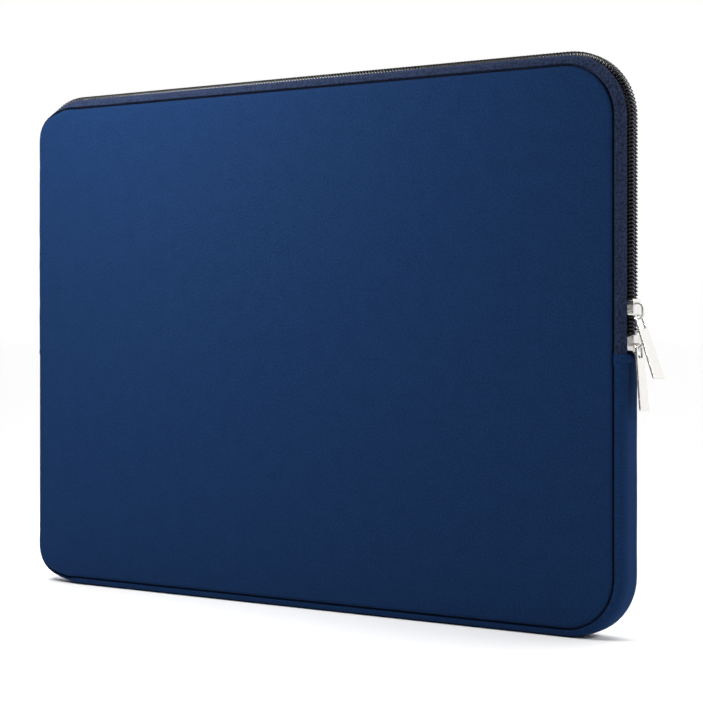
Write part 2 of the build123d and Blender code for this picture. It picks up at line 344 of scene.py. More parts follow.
def nickel(name):
    """Bright plate: fine polishing marks, soft ripples left by casting, and dulled patches."""
    f = Finish(name)
    spot = f.place()
    marks = f.node("ShaderNodeMapping", None, {"Vector": spot, "Scale": (1.0, 1.0, 0.12)})["Vector"]
    scratch = f.cloud(marks, 0.25 * MM, 4.0, 0.7)
    cast = f.cloud(spot, 3.5 * MM, 2.0)
    dull = f.cloud(spot, 2.0 * MM, 4.0, 0.65)
    base = tuple(colours().nickel)
    tone = f.blend((dull - 0.35) * 1.6, times(base, 0.93), times(base, 1.06))
    rough = 0.13 + scratch * 0.10 + (dull - 0.5).most(0.0) * 0.5
    surface = f.bump(scratch, 0.01 * MM, 0.25, f.bump(cast, 0.25 * MM, 0.35))
    return f.set(Base_Color=tone, Metallic=1.0, Roughness=rough, Normal=surface)


# ---- the outline that everything follows ---------------------------------------------------------
class Station:
    """A place on the seam line: x and z, the outward direction there, and how far along it is."""

    def __init__(self, x, z, angle, along):
        self.x = x
        self.z = z
        self.nx = cos(angle)
        self.nz = sin(angle)
        self.along = along

    def out(self, n, y):
        """The point n outwards from here, at y."""
        return (self.x + self.nx * n, y, self.z + self.nz * n)

    def uneven(self, size, seed, side=0):
        """Smooth unevenness from -1 to 1 along the seam line."""
        return wobble(self.x, side, self.z, size, seed)


def upper_stations(end_z, step):
    """From end_z on the right side, over the top and down to end_z on the left."""
    radius = SEAM_RADIUS
    corner_x = SEAM_HALF_WIDTH - radius
    corner_z = SEAM_HIGH - radius
    arc_turns = 14
    rise = max(1, round((corner_z - end_z) / step))
    top = max(1, round(2 * corner_x / step))
    side_x = corner_x + radius

    def corner(middle_x, start):
        turned = [start + pi / 2 * i / arc_turns for i in range(arc_turns)]
        return [(middle_x + radius * cos(a), corner_z + radius * sin(a), a) for a in turned]

    places = [(side_x, end_z + (corner_z - end_z) * i / rise, 0.0) for i in range(rise)]
    places += corner(corner_x, 0.0)
    places += [(corner_x - 2 * corner_x * i / top, corner_z + radius, pi / 2) for i in range(top)]
    places += corner(-corner_x, pi / 2)
    places += [(-side_x, corner_z + (end_z - corner_z) * i / rise, pi) for i in range(rise + 1)]
    return measured(places)


def measured(places):
    stations = []
    along = 0.0
    before = None
    for x, z, angle in places:
        if before:
            along += hypot(x - before[0], z - before[1])
        stations.append(Station(x, z, angle, along))
        before = (x, z)
    return stations


def lower_stations(end_z, step):
    """From end_z on the left side, under the bottom, up to end_z on the right."""
    mirrored = upper_stations(2 * MIDDLE_Z - end_z, step)
    places = [(s.x, 2 * MIDDLE_Z - s.z, atan2(-s.nz, s.nx)) for s in reversed(mirrored)]
    return measured(places)


def closed_stations(step):
    """All the way round, starting in the middle of the right side."""
    upper = upper_stations(MIDDLE_Z, step)
    lower = lower_stations(MIDDLE_Z, step)
    places = [(s.x, s.z, atan2(s.nz, s.nx)) for s in upper + lower[1:-1]]
    return measured(places)


def inside_distance(x, z):
    """Distance from a point of a panel in to its outline."""
    qx = abs(x) - (SEAM_HALF_WIDTH - SEAM_RADIUS)
    qz = abs(z - MIDDLE_Z) - (SEAM_HALF_HEIGHT - SEAM_RADIUS)
    reach = hypot(max(qx, 0.0), max(qz, 0.0)) + min(max(qx, qz), 0.0)
    return max(0.0, SEAM_RADIUS - reach)


def outward(x, z):
    """The direction from a point of a panel to the nearest place on its outline."""
    qx = abs(x) - (SEAM_HALF_WIDTH - SEAM_RADIUS)
    qz = abs(z - MIDDLE_Z) - (SEAM_HALF_HEIGHT - SEAM_RADIUS)
    if qx > 0 and qz > 0:
        nx, nz = qx / hypot(qx, qz), qz / hypot(qx, qz)
    else:
        nx, nz = (1.0, 0.0) if qx > qz else (0.0, 1.0)
    return (nx if x > 0 else -nx), (nz if z > MIDDLE_Z else -nz)


def wobble(x, y, z, size, seed):
    """Smooth unevenness from -1 to 1 with bumps about as large as size."""
    return noise.noise(Vector((x / size + seed, y / size, z / size)))


# ---- meshes --------------------------------------------------------------------------------------
CLOTH_CREASE = 70.0  # degrees: cloth is shaded smooth over any gentler turn
FOLD_CREASE = 60.0
PLAIN_CREASE = 50.0


def new_piece(name, mesh, material, crease=PLAIN_CREASE):
    piece = bpy.data.objects.new(name, mesh)
    bpy.context.scene.collection.objects.link(piece)
    mesh.materials.clear()
    mesh.materials.append(material)
    mesh.shade_smooth()
    mesh.set_sharp_from_angle(angle=radians(crease))
    return piece


def mesh_of(name, points, faces, uvs=None):
    """A mesh from points, faces and, for cloth, one UV pair for each corner of each face."""
    mesh = bpy.data.meshes.new(name)
    mesh.from_pydata(points, [], faces)
    if uvs is not None:
        layer = mesh.uv_layers.new(name="Cloth")
        layer.data.foreach_set("uv", [value for pair in uvs for value in pair])
    work = bmesh.new()
    work.from_mesh(mesh)
    bmesh.ops.recalc_face_normals(work, faces=work.faces)
    work.to_mesh(mesh)
    work.free()
    return mesh


def sweep(name, stations, profile, closed=False):
    """A closed profile run along stations. It is a list of points (n, y), or a station's function."""
    rings = [profile(s) if callable(profile) else profile for s in stations]
    count = len(rings[0])
    points = [s.out(n, y) for s, ring in zip(stations, rings) for n, y in ring]
    girth = [0.0]
    for a, b in zip(rings[0], rings[0][1:] + rings[0][:1]):
        girth.append(girth[-1] + hypot(b[0] - a[0], b[1] - a[1]))
    faces = []
    uvs = []
    first, last = stations[0], stations[-1]
    whole = last.along + hypot(first.x - last.x, first.z - last.z)
    for i in range(len(stations) if closed else len(stations) - 1):
        j = (i + 1) % len(stations)
        low = stations[i].along
        high = stations[j].along if j else whole
        for k in range(count):
            m = (k + 1) % count
            faces.append((i * count + k, i * count + m, j * count + m, j * count + k))
            uvs += [(girth[k], low), (girth[k + 1], low), (girth[k + 1], high), (girth[k], high)]
    if not closed:
        for i in (0, len(stations) - 1):
            ring = [i * count + k for k in range(count)]
            faces.append(ring if i else ring[::-1])
            uvs += [rings[i][k] for k in (range(count) if i else range(count - 1, -1, -1))]
    return mesh_of(name, points, faces, uvs)


def spaced(half, step):
    """Places from -half to half, close together at both ends, where a panel turns into its seam."""
    edge = [0.3 * i for i in range(9)] + [3.0, 4.0, 5.4, 7.2, 9.4, 12.6, 16.2, 20.0, 24.0]
    edge = [e * MM for e in edge]
    inner = half - edge[-1]
    count = max(1, round(2 * inner / step))
    middle = [-inner + 2 * inner * i / count for i in range(1, count)]
    return [e - half for e in edge] + middle + [half - e for e in reversed(edge)]


def rounded(x, z):
    """Moves a point of a square-cornered panel so that its corners follow the rounded outline."""
    r = SEAM_RADIUS
    u = (abs(x) - (SEAM_HALF_WIDTH - r)) / r
    v = (abs(z) - (SEAM_HALF_HEIGHT - r)) / r
    if u <= 0 or v <= 0:
        return x, z
    across = (SEAM_HALF_WIDTH - r) + r * u * sqrt(1 - v * v / 2)
    up = (SEAM_HALF_HEIGHT - r) + r * v * sqrt(1 - u * u / 2)
    return (across if x > 0 else -across), (up if z > 0 else -up)


def slab(name, outer, inner, step):
    """A panel with the sleeve's outline.

    outer and inner take a place x, z and its distance from the edge. They give how far it moves
    outwards, and its y."""
    columns = spaced(SEAM_HALF_WIDTH, step)
    rows = spaced(SEAM_HALF_HEIGHT, step)
    wide = len(columns)
    points = []
    for surface in (outer, inner):
        for z in rows:
            for x in columns:
                px, pz = rounded(x, z)
                pz += MIDDLE_Z
                n, y = surface(px, pz, inside_distance(px, pz))
                nx, nz = outward(px, pz)
                points.append((px + nx * n, y, pz + nz * n))
    layer = wide * len(rows)
    faces = []
    for j in range(len(rows) - 1):
        for i in range(wide - 1):
            a = j * wide + i
            quad = (a, a + 1, a + 1 + wide, a + wide)
            faces.append(quad)
            faces.append(tuple(layer + k for k in reversed(quad)))
    rim = list(range(wide))
    rim += [j * wide + wide - 1 for j in range(1, len(rows))]
    rim += [(len(rows) - 1) * wide + i for i in range(wide - 2, -1, -1)]
    rim += [j * wide for j in range(len(rows) - 2, 0, -1)]
    for a, b in zip(rim, rim[1:] + rim[:1]):
        faces.append((b, a, layer + a, layer + b))
    uvs = [(points[k][0], points[k][2]) for face in faces for k in face]
    return mesh_of(name, points, faces, uvs)


def carry(piece, side):
    """The front's soft pieces are left loose, with their place applied to their meshes, and the back's
    stay with the rest.
    """
    if side < 0:
        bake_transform(piece)
    else:
        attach(piece, "root")


# ---- rows of equal things ------------------------------------------------------------------------
def row_tree():
    """Sets a copy of a piece at equal steps along a path, turned to follow it."""
    tree = bpy.data.node_groups.get("Row along a path")
    if tree:
        return tree
    tree = bpy.data.node_groups.new("Row along a path", "GeometryNodeTree")
    sockets = {"Path": "Geometry", "Piece": "Object", "Pitch": "Float", "Finish": "Material"}
    for name, kind in sockets.items():
        tree.interface.new_socket(name, in_out="INPUT", socket_type="NodeSocket" + kind)
    tree.interface.new_socket("Row", in_out="OUTPUT", socket_type="NodeSocketGeometry")
    kinds = ("NodeGroupInput", "GeometryNodeResampleCurve", "GeometryNodeInputTangent",
             "FunctionNodeAlignRotationToVector", "GeometryNodeObjectInfo",
             "GeometryNodeInstanceOnPoints", "GeometryNodeRealizeInstances",
             "GeometryNodeSetMaterial", "NodeGroupOutput")
    nodes = [tree.nodes.new(kind) for kind in kinds]
    given, steps, heading, turn, piece, copies, real, finish, result = nodes
    steps.mode = "LENGTH"
    turn.axis = "Z"
    turn.pivot_axis = "Y"
    links = (
        (given, "Path", steps, "Curve"),
        (given, "Pitch", steps, "Length"),
        (given, "Piece", piece, "Object"),
        (heading, "Tangent", turn, "Vector"),
        (steps, "Curve", copies, "Points"),
        (piece, "Geometry", copies, "Instance"),
        (turn, "Rotation", copies, "Rotation"),
        (copies, "Instances", real, "Geometry"),
        (real, "Geometry", finish, "Geometry"),
        (given, "Finish", finish, "Material"),
        (finish, "Geometry", result, "Row"),
    )
    for source, output, target, entry in links:
        tree.links.new(source.outputs[output], target.inputs[entry])
    return tree


def row_of(name, places, element, pitch, material):
    """A plain mesh piece: element repeated every pitch along the polyline through places."""
    line = bpy.data.curves.new(name + "_path", "CURVE")
    line.dimensions = "3D"
    spline = line.splines.new("POLY")
    spline.points.add(len(places) - 1)
    for point, place in zip(spline.points, places):
        point.co = (*place, 1.0)
    path = bpy.data.objects.new(name + "_path", line)
    part = bpy.data.objects.new(name + "_element", element)
    for made in (path, part):
        bpy.context.scene.collection.objects.link(made)
    tree = row_tree()
    modifier = path.modifiers.new("Row", "NODES")
    modifier.node_group = tree
    inputs = [item for item in tree.interface.items_tree if item.in_out == "INPUT"]
    socket = {item.name: item.identifier for item in inputs}
    modifier[socket["Piece"]] = part
    modifier[socket["Pitch"]] = pitch
    modifier[socket["Finish"]] = material
    graph = bpy.context.evaluated_depsgraph_get()
    mesh = bpy.data.meshes.new_from_object(path.evaluated_get(graph), depsgraph=graph)
    path.modifiers.remove(modifier)
    for made in (path, part):
        bpy.data.objects.remove(made)
    mesh.name = name
    return new_piece(name, mesh, material, FOLD_CREASE)


def tube(name, places, radius, sides=6):
    """A round bar through places, with its ends closed."""
    points = []
    count = len(places)
    for i, place in enumerate(places):
        before = Vector(places[max(i - 1, 0)])
        after = Vector(places[min(i + 1, count - 1)])
        ahead = (after - before).normalized()
        side = ahead.cross(Vector((0.31, 0.87, 0.38))).normalized()
        up = side.cross(ahead)
        for k in range(sides):
            a = 2 * pi * k / sides
            points.append(tuple(Vector(place) + radius * (cos(a) * side + sin(a) * up)))
    faces = []
    for i in range(count - 1):
        for k in range(sides):
            m = (k + 1) % sides
            faces.append((i * sides + k, i * sides + m, (i + 1) * sides + m, (i + 1) * sides + k))
    faces.append(list(range(sides))[::-1])
    faces.append([(count - 1) * sides + k for k in range(sides)])
    return mesh_of(name, points, faces)


def stitch(name, length, thick):
    """One stitch lying along Z, pulled down into the cloth at both ends."""
    rows = 7
    places = []
    for i in range(rows):
        t = 2 * i / (rows - 1) - 1
        places.append((thick * 0.45 * (1 - 2.2 * abs(t) ** 3), 0.0, t * length / 2))
    return tube(name, places, thick / 2)


# ---- soft pieces ---------------------------------------------------------------------------------
ROLL_BAND = 2.4 * MM  # width of a panel's edge, where it rolls under
ROLL_TURN = radians(135)  # how far round it rolls
GROOVE_MIDDLE = 0.15 * MM  # of the seam groove, out from the seam line
GROOVE_DEPTH = 3.2 * MM
SHOULDER_Y = FACE_Y - 1.3 * MM  # where the rim's face begins, except on the left
LEFT_OVERHANG = 2.0 * MM  # of the panels over the rim on the left
LEFT_SET_BACK = 1.7 * MM  # of the rim's shoulder there
CORNER_FULLNESS = 20.0 * MM  # scale of a bump that stands about 3 mm out at most
CROWN_REACH = 45 * MM  # how far in from the seam the crown, the edge's fall and the ripple take
FALL_REACH = 8 * MM
RIPPLE_REACH = 9 * MM
GUSSET_INSIDE = RIM_DEPTH - 2.9 * MM  # of the padding, then of its lining's two faces
LINING_OUTSIDE = RIM_DEPTH - 2.95 * MM
LINING_INSIDE = RIM_DEPTH - 3.55 * MM
GUSSET_GAP = 0.3 * MM  # between the gusset's ends and the ends of the zip
HEM_SIDE = HEM_Y - 0.5 * MM
HEM_OUT = RIM_DEPTH - 0.75 * MM
BAND_THICK = 1.5 * MM
TAB_GROOVE = 0.13  # the stitched groove and the top of the bead, as parts of a tab's height
TAB_TOP = 0.90


def leftness(nx):
    """How far the rim is drawn back behind the panels: 1 on the left, 0 on the top and the right."""
    return max(0.0, -nx) ** 0.6


def fullness(nx, nz):
    """How far the left corners stand out past a plain round corner."""
    return CORNER_FULLNESS * max(0.0, -nx) ** 4 * nz ** 2


def panel_face(side, seed):
    """A panel's outer face: nearly flat, then a round roll that tucks under at the seam."""

    def surface(x, z, distance):
        s = sizes()
        radius = s.edge_roll
        crown = s.crown * (1 - exp(-distance / CROWN_REACH))
        bulge = crown - s.edge_fall * exp(-distance / FALL_REACH)
        fade = 1 - exp(-distance / RIPPLE_REACH)
        uneven = s.ripple * fade * wobble(x, 0, z, 70 * MM, seed)
        uneven += 0.35 * s.ripple * fade * wobble(x, 0, z, 22 * MM, seed + 9)
        nx, nz = outward(x, z)
        edge = GROOVE_MIDDLE - s.groove / 2 + LEFT_OVERHANG * leftness(nx) + fullness(nx, nz)
        shift = ROLL_BAND + edge - radius
        if distance >= ROLL_BAND:
            eased = shift * exp(-(distance - ROLL_BAND) / RIPPLE_REACH)
            return eased, side * (FACE_Y + bulge + uneven)
        turned = 1 - distance / ROLL_BAND
        pucker = 0.12 * MM * wobble(x, 0, z, 5 * MM, seed + 4) * turned
        angle = pi / 2 - ROLL_TURN * turned
        n = edge - radius + radius * cos(angle) + pucker
        return n + distance, side * (FACE_Y - radius + radius * sin(angle) + bulge + uneven)

    return surface


class SLEEVE_OT_panels(bpy.types.Operator):
    """Makes the two padded panels, with rolled edges and the soft unevenness of foam-backed cloth"""

    bl_idname = "sleeve.panels"
    bl_label = "Padded panels"

    def execute(self, context):
        inner_y = LINING_Y + 0.45 * MM
        inset = 0.4 * MM
        cloth = finish_of(navy_knit)
        for side, word in ((-1, "front"), (1, "back")):
            mesh = slab(word + "_panel", panel_face(side, 3.0 + side),
                        lambda x, z, d: (-inset, side * inner_y), sizes().mesh_step)
            piece = new_piece(word + "_panel", mesh, cloth, CLOTH_CREASE)
            if side < 0:
                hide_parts("front_face_fabric_lower", "front_face_fabric_flap",
                            "front_foam_pad_lower", "front_foam_pad_flap")
            else:
                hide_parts("back_face_fabric", "back_foam_pad")
            carry(piece, side)
        return {"FINISHED"}


def settled(station, n, floor):
    """n, eased back where the place would be lower than floor."""
    if station.nz > -0.05:
        return n
    most = (station.z - floor) / -station.nz
    soft = 0.5 * MM
    over = n - most
    if over <= -soft:
        return n
    if over >= soft:
        return most
    return n - (over + soft) ** 2 / (4 * soft)


def rim_point(station, t, out, half_y):
    """A point of the rim's full section, t from 0 at the front seam to 1 at the back.

    The section is flatter on the left."""
    left = leftness(station.nx)
    y = -half_y * cos(pi * t)
    part = max(0.0, 1 - abs(y / half_y) ** (4.0 - 2.0 * left))
    return out * part ** (0.5 + 0.5 * left), y


def shoulder(station):
    """Where the rim's outer face begins, beside the seam groove."""
    left = leftness(station.nx)
    n = GROOVE_MIDDLE + sizes().groove / 2 + LEFT_OVERHANG * left + fullness(station.nx, station.nz)
    return n, SHOULDER_Y - LEFT_SET_BACK * left


def seam_wall(station):
    """The near wall of the groove, from its bottom up to the rim's shoulder."""
    n, y = shoulder(station)
    deep = GROOVE_DEPTH - FACE_Y + SHOULDER_Y
    wall = ((0.85 * MM, 1.0), (0.45 * MM, 0.7), (0.2 * MM, 0.4), (0.1 * MM, 0.2))
    return [(n - back, y - part * deep) for back, part in wall]


def rim_depth(station):
    """How far the rim stands out past the seam: less at the bottom, where the sleeve rests."""
    depth = RIM_DEPTH + 1.25 * fullness(station.nx, station.nz)
    return depth - (RIM_DEPTH - SEAM_LOW) * max(0.0, -station.nz) ** 3


def gusset_profile(station):
    """The padded lower gusset's section, with slight dimples that change along it."""
    uneven = 0.18 * MM * station.uneven(18 * MM, 21.0)
    pucker = 0.12 * MM * station.uneven(4 * MM, 25.0)
    first, half_y = shoulder(station)
    turns = 30
    outer = [(n, -y) for n, y in seam_wall(station)]
    for i in range(turns + 1):
        t = i / turns
        n, y = rim_point(station, t, rim_depth(station) - first, half_y)
        near_seam = exp(-min(t, 1 - t) * 12)
        full = first + n + uneven * (1 - near_seam) + pucker * near_seam
        outer.append((settled(station, full, 0.0), y))
    outer += [(n, y) for n, y in reversed(seam_wall(station))]
    inner = []
    inner_y = FACE_Y - GROOVE_DEPTH - 0.2 * MM
    for i in range(turns // 2 + 1):
        n, y = rim_point(station, 1 - 2 * i / turns, GUSSET_INSIDE, inner_y)
        inner.append((settled(station, n - 0.4 * MM, 1.5 * MM), y))
    return outer + inner


class SLEEVE_OT_gusset(bpy.types.Operator):
    """Makes the padded gusset round the lower half of the rim"""

    bl_idname = "sleeve.gusset"
    bl_label = "Lower gusset"

    def execute(self, context):
        stations = lower_stations(ZIP_END - GUSSET_GAP, sizes().mesh_step)
        mesh = sweep("lower_gusset", stations, gusset_profile)
        piece = new_piece("lower_gusset", mesh, finish_of(navy_knit), CLOTH_CREASE)
        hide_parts("gusset_face_fabric", "gusset_foam")
        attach(piece, "root")
        return {"FINISHED"}


def band_profile(side):
    """Section of a folded band: it rises out of the seam, rounds over and is hemmed beside the zip."""

    def section(station):
        uneven = 0.20 * MM * station.uneven(11 * MM, 31.0, side)
        pucker = 0.14 * MM * station.uneven(3.2 * MM, 35.0, side)
        puff = (1.0 - 0.8 * leftness(station.nx)) * MM + uneven
        first, shoulder_y = shoulder(station)
        turns = 16
        outer = seam_wall(station)
        for i in range(turns + 1):
            t = i / turns
            lift = puff * sin(pi * t) ** 0.85 + pucker * (1 - t)
            outer.append((first + (HEM_OUT - first) * t + 0.74 * lift,
                          shoulder_y + (HEM_SIDE - shoulder_y) * t + 0.67 * lift))
        # the rolled hem, turned back on itself, then the underside back to the seam
        roll_turns = 6
        for i in range(1, roll_turns + 1):
            a = pi * i / roll_turns
            n = HEM_OUT - BAND_THICK / 2 * (1 - cos(a))
            outer.append((n, HEM_SIDE - 0.4 * BAND_THICK * sin(a)))
        under_n, under_y = outer[-1]
        foot_n, foot_y = seam_wall(station)[0]
        foot_y -= 0.4 * MM
        under_turns = 4
        inner = [(under_n + (foot_n - under_n) * i / under_turns,
                  under_y + (foot_y - under_y) * i / under_turns) for i in range(1, under_turns + 1)]
        return [(n, side * y) for n, y in outer + inner]

    return section


class SLEEVE_OT_zip_bands(bpy.types.Operator):
    """Makes the folded cloth bands on both sides of the zip"""

    bl_idname = "sleeve.zip_bands"
    bl_label = "Zip bands"

    def execute(self, context):
        cloth = finish_of(band_knit)
        stations = upper_stations(ZIP_END, sizes().mesh_step * 0.6)
        for side, word in ((-1, "front"), (1, "back")):
            mesh = sweep(word + "_band", stations, band_profile(side))
            piece = new_piece(word + "_band", mesh, cloth, CLOTH_CREASE)
            if side < 0:
                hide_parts("front_zip_band_flap",
                            "front_zip_band_lower_right", "front_zip_band_lower_left")
            else:
                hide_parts("back_zip_band")
            carry(piece, side)
        return {"FINISHED"}


def tape_profile(side):
    """Section of a woven tape, from under the band to its corded edge beside the other tape."""
    edge = 0.45 * MM
    thick = 0.5 * MM
    foot = TAPE_OUT - 0.6 * MM
    wide = 7.0 * MM
    drop = 1.5 * MM
    flat = 0.45  # the part of its width that stays level before it drops under the band
    turns = 8
    top = []
    for i in range(turns + 1):
        t = i / turns
        top.append((foot - drop * max(0.0, t - flat) ** 2 * 3.3, edge + (wide - edge) * t))
    under = [(n - thick, y) for n, y in reversed(top)]
    return [(n, side * y) for n, y in top + under]


class SLEEVE_OT_zip_tapes(bpy.types.Operator):
    """Makes the woven tapes that carry the coils"""

    bl_idname = "sleeve.zip_tapes"
    bl_label = "Zip tapes"

    def execute(self, context):
        cloth = finish_of(tape_weave)
        stations = upper_stations(ZIP_END, sizes().mesh_step)
        for side, word in ((-1, "front"), (1, "back")):
            mesh = sweep(word + "_tape", stations, tape_profile(side))
            piece = new_piece(word + "_tape", mesh, cloth)
            if side < 0:
                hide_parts("front_zip_tape_flap",
                            "front_zip_tape_lower_right", "front_zip_tape_lower_left")
            else:
                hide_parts("back_zip_tape")
            carry(piece, side)
        return {"FINISHED"}


def coil_turn(side, name):
    """One turn of a coil: over the top, round the head that meshes with the other side, and back."""
    s = sizes()
    r = s.filament / 2
    top = COIL_OUT + 0.45 * MM - r
    low = TAPE_OUT - 0.5 * MM + r
    out = COIL_SIDE - r
    head = 0.05 * MM
    pitch = s.coil_pitch
    middle = (top + low) / 2
    # height, distance from the middle of the zip, and how far along in pitches
    lie = [(low, out - 0.6 * MM, -0.50), (low, out - 0.1 * MM, -0.48),
           (middle, out + 0.15 * MM, -0.44), (top - 0.1 * MM, out - 0.15 * MM, -0.40),
           (top, out - 0.7 * MM, -0.30), (top, out * 0.5, -0.08),
           (top, head + 0.5 * MM, 0.18), (top - 0.15 * MM, head, 0.26),
           (middle, head - 0.2 * MM, 0.32), (low, head + 0.1 * MM, 0.38),
           (low, out * 0.5, 0.45), (low, out - 0.6 * MM, 0.50)]
    # the two coils wind opposite ways, so that their turns lie in one slanting line when they mesh
    places = [(n - TAPE_OUT, side * y, side * (t + 0.25) * pitch) for n, y, t in lie]
    return tube(name, places, r)


class SLEEVE_OT_zip_coils(bpy.types.Operator):
    """Winds the nylon coils turn by turn and sews them down with a row of thread"""

    bl_idname = "sleeve.zip_coils"
    bl_label = "Zip coils"

    def execute(self, context):
        s = sizes()
        filament = finish_of(nylon)
        stitch_length = 1.9 * MM
        stitch_thick = 0.32 * MM
        stitch_pitch = 2.1 * MM
        stations = upper_stations(COIL_END, 2 * MM)
        path = [station.out(TAPE_OUT, 0.0) for station in stations]
        for side, word in ((-1, "front"), (1, "back")):
            name = word + "_coil"
            piece = row_of(name, path, coil_turn(side, name), s.coil_pitch, filament)
            if side < 0:
                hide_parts("front_zip_coil_flap",
                            "front_zip_coil_lower_right", "front_zip_coil_lower_left")
            else:
                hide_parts("back_zip_coil")
            carry(piece, side)
            beside = side * (COIL_SIDE + 0.5 * MM)
            seam = [station.out(TAPE_OUT - 0.5 * MM, beside) for station in stations]
            sewn = stitch("tape_stitch", stitch_length, stitch_thick)
            row = row_of(word + "_tape_stitches", seam, sewn, stitch_pitch, finish_of(tape_weave))
            carry(row, side)
        return {"FINISHED"}


def tab_profile(station, height):
    """Section of the folded tab over an end of the zip at a height from 0 to 1 within it."""
    turns = 36
    across = (height - TAB_GROOVE) / (TAB_TOP - TAB_GROOVE)
    bead = sqrt(max(0.0, 1 - (2 * across - 1) ** 2)) if 0 < across < 1 else 0.0
    lift = (2.5 * bead - 0.9) * MM * (1 - 0.8 * leftness(station.nx))
    first, half_y = shoulder(station)
    outer = []
    inner = []
    for i in range(turns + 1):
        t = i / turns
        n, y = rim_point(station, t, RIM_DEPTH - first, half_y)
        spread = max(0.0, sin(pi * t)) ** 0.4
        outer.append((first + n + lift * (0.35 + 0.65 * spread), y - 0.5 * lift * cos(pi * t)))
        inner.append((max(-0.5 * MM, n - 1.0 * MM), y * 0.85))
    return outer + inner[::-1]


class SLEEVE_OT_end_tabs(bpy.types.Operator):
    """Makes the folded cloth tab over each end of the zip and its row of stitches"""

    bl_idname = "sleeve.end_tabs"
    bl_label = "End tabs"

    def execute(self, context):
        cloth = finish_of(navy_knit)
        thread = finish_of(sewing_thread)
        low = _tab_low[2]
        tall = _tab_high[2] - low
        rows = 18
        for side, word in ((1, "right"), (-1, "left")):
            angle = 0.0 if side > 0 else pi
            rises = [tall * i / rows for i in range(rows + 1)]
            stations = [Station(side * SEAM_HALF_WIDTH, low + rise, angle, rise) for rise in rises]
            heights = {id(s): i / rows for i, s in enumerate(stations)}
            mesh = sweep(word + "_end_fold", stations, lambda s: tab_profile(s, heights[id(s)]))
            piece = new_piece(word + "_end_fold", mesh, cloth, FOLD_CREASE)
            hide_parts(word + "_end_tab")
            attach(piece, "root")
            end_stitches(word, side, low + TAB_GROOVE * tall, thread)
        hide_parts("end_tab_stitches")
        return {"FINISHED"}


def end_stitches(word, side, z, thread):
    """A short row of stitches that follows the rim from the front seam to the back seam."""
    places = []
    station = Station(0, z, 0.0 if side > 0 else pi, 0)
    first, half_y = shoulder(station)
    turns = 30
    sunk = 0.55 * MM
    for i in range(2, turns - 1):
        n, y = rim_point(station, i / turns, RIM_DEPTH - first, half_y)
        places.append((side * (SEAM_HALF_WIDTH + first + n - sunk), y, z))
    lengths = [0.0]
    for a, b in zip(places, places[1:]):
        lengths.append(lengths[-1] + (Vector(b) - Vector(a)).length)
    count = 6
    gap = 0.12  # between a stitch and its share of the row, at each end
    steps = 6
    made = []
    for k in range(count):
        start = lengths[-1] * (k + gap) / count
        end = lengths[-1] * (k + 1 - gap) / count
        run = []
        for i in range(steps + 1):
            at = start + (end - start) * i / steps
            j = next(m for m in range(1, len(lengths)) if lengths[m] >= at or m == len(lengths) - 1)
            t = (at - lengths[j - 1]) / (lengths[j] - lengths[j - 1])
            spot = Vector(places[j - 1]).lerp(Vector(places[j]), t)
            dip = 0.5 * MM * abs(2 * i / steps - 1) ** 3
            run.append((spot.x - side * dip, spot.y, spot.z))
        made.append(tube("stitch", run, 0.28 * MM))
    work = bmesh.new()
    for mesh in made:
        work.from_mesh(mesh)
    whole = bpy.data.meshes.new(word + "_end_stitches")
    work.to_mesh(whole)
    work.free()
    piece = new_piece(word + "_end_stitches", whole, thread)
    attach(piece, "root")
    return piece


def squared(part):
    """A cosine or sine pushed out towards -1 or 1, which makes a circle a soft square."""
    return abs(part) ** 0.6 * (1 if part > 0 else -1)


